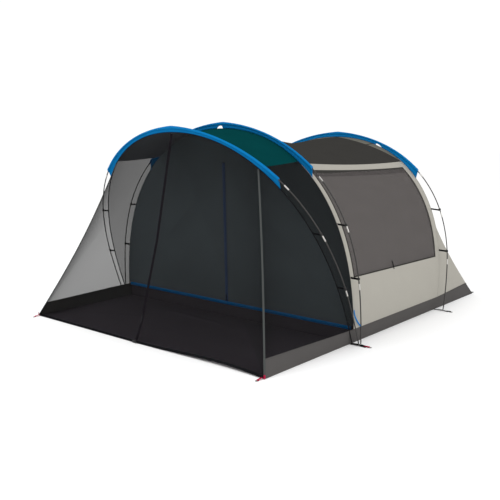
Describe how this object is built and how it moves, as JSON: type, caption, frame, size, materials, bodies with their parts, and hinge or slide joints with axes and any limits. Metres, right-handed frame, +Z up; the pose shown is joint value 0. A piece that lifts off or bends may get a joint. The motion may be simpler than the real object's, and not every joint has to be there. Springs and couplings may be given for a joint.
{
  "type": "tunnel tent",
  "caption": "Tunnel tent with bent poles in blue sleeves, a closed bedroom with side windows and a black mesh porch whose doors fold back from a centre zip.",
  "frame": {"origin": "on the ground, in the middle of the ground plan including the peg rings", "axes": "-Y towards the porch, +Y towards the rear wall, +X towards the right of a person who stands before the porch and faces it, +Z up"},
  "size_m": [3.48, 4.09, 1.9922],
  "materials": {
    "pole_fibre": "smooth dark glass-fibre rod",
    "ferrule_metal": "satin plated steel",
    "elastic_cord": "woven elastic cord",
    "sleeve_cloth": "bright blue woven polyester",
    "black_plastic": "moulded, satin",
    "pin_steel": "plated steel",
    "dark_webbing": "woven webbing",
    "red_webbing": "woven webbing",
    "floor_cloth": "woven polyethylene sheet",
    "band_cloth": "coated grey cloth",
    "porch_roof_cloth": "coated dark green cloth",
    "bedroom_roof_cloth": "coated dark grey cloth",
    "wall_cloth": "coated light grey cloth",
    "porch_mesh": "black fine insect mesh",
    "window_mesh": "dark fine insect mesh",
    "roof_edge_cloth": "coated mid-grey cloth",
    "window_flap_cloth": "light grey-brown cloth",
    "piping_tape": "grey piping tape",
    "black_zip": "zip tape with coil",
    "blue_zip": "zip tape with coil",
    "inner_wall_cloth": "dark grey cloth",
    "slider_metal": "painted zinc"
  },
  "bodies": {
    "tent": {"bedroom_band_left": "band_cloth", "bedroom_band_right": "band_cloth", "bedroom_floor": "floor_cloth", "bedroom_front_header": "inner_wall_cloth", "bedroom_roof": "bedroom_roof_cloth", "bedroom_sill_band": "band_cloth", "bedroom_sill_zip": "blue_zip", "foot_pins": "pin_steel", "foot_straps": "dark_webbing", "front_mesh_left": "porch_mesh", "front_mesh_right": "porch_mesh", "front_peg_loops": "red_webbing", "front_piping_left": "piping_tape", "front_piping_right": "piping_tape", "front_pole_ferrules": "ferrule_metal", "front_pole_sections": "pole_fibre", "front_pole_sleeve": "sleeve_cloth", "front_sill": "dark_webbing", "middle_peg_loops": "red_webbing", "middle_pole_ferrules": "ferrule_metal", "middle_pole_sections": "pole_fibre", "middle_pole_sleeve": "sleeve_cloth", "peg_rings": "pin_steel", "pole_clips": "black_plastic", "pole_shock_cords": "elastic_cord", "porch_band_left": "band_cloth", "porch_band_right": "band_cloth", "porch_floor": "floor_cloth", "porch_gusset_left": "porch_mesh", "porch_gusset_right": "porch_mesh", "porch_roof": "porch_roof_cloth", "porch_side_mesh_left": "porch_mesh", "porch_side_mesh_right": "porch_mesh", "rear_band": "band_cloth", "rear_peg_loops": "dark_webbing", "rear_pole_ferrules": "ferrule_metal", "rear_pole_sections": "pole_fibre", "rear_pole_sleeve": "sleeve_cloth", "rear_roof_edge": "roof_edge_cloth", "rear_side_left": "wall_cloth", "rear_side_right": "wall_cloth", "rear_wall": "wall_cloth", "side_wall_left": "wall_cloth", "side_wall_right": "wall_cloth", "sill_buckle": "black_plastic", "window_mesh_left": "window_mesh", "window_mesh_right": "window_mesh"},
    "porch_door_left": {"front_flap_left": "porch_mesh", "front_zip_left": "black_zip"},
    "porch_door_right": {"front_flap_right": "porch_mesh", "front_zip_right": "black_zip"},
    "bedroom_door_left": {"door_flap_left": "inner_wall_cloth", "door_zip_left": "blue_zip"},
    "bedroom_door_right": {"door_flap_right": "inner_wall_cloth", "door_zip_right": "blue_zip"},
    "window_flap_left": {"window_flap_left": "window_flap_cloth"},
    "window_flap_right": {"window_flap_right": "window_flap_cloth"},
    "porch_zip_slider": {"front_zip_slider": "slider_metal"},
    "bedroom_zip_slider": {"door_zip_slider": "slider_metal"}
  },
  "joints": [
    {"name": "porch_door_left_fold", "type": "hinge", "parent": "tent", "child": "porch_door_left", "pos_m": [-0.7625, -1.70645, 0.94889], "axis": [-0.6132, -0.2051, -0.7628], "range_deg": [0, 100]},
    {"name": "porch_door_right_fold", "type": "hinge", "parent": "tent", "child": "porch_door_right", "pos_m": [0.7625, -1.70645, 0.94889], "axis": [-0.6132, 0.2051, 0.7628], "range_deg": [0, 100]},
    {"name": "bedroom_door_left_fold", "type": "hinge", "parent": "tent", "child": "bedroom_door_left", "pos_m": [-0.75, -0.71979, 0.88765], "axis": [0.7156, -0.0195, 0.6982], "range_deg": [0, 85]},
    {"name": "bedroom_door_right_fold", "type": "hinge", "parent": "tent", "child": "bedroom_door_right", "pos_m": [0.75, -0.71979, 0.88765], "axis": [0.7156, 0.0195, -0.6982], "range_deg": [0, 85]},
    {"name": "window_flap_left_drop", "type": "hinge", "parent": "tent", "child": "window_flap_left", "pos_m": [-1.03598, 0.24952, 1.46879], "axis": [0, -0.9992, 0.0387], "range_deg": [0, 20]},
    {"name": "window_flap_right_drop", "type": "hinge", "parent": "tent", "child": "window_flap_right", "pos_m": [1.03598, 0.24952, 1.46879], "axis": [0, 0.9992, -0.0387], "range_deg": [0, 20]},
    {"name": "porch_zip_slide", "type": "slide", "parent": "porch_door_left", "child": "porch_zip_slider", "axis": [0, 0.2779, 0.9606], "range_m": [0, 0.68]},
    {"name": "bedroom_zip_slide", "type": "slide", "parent": "bedroom_door_left", "child": "bedroom_zip_slider", "axis": [0, -0.0279, 0.9996], "range_m": [0, 1.3]}
  ]
}
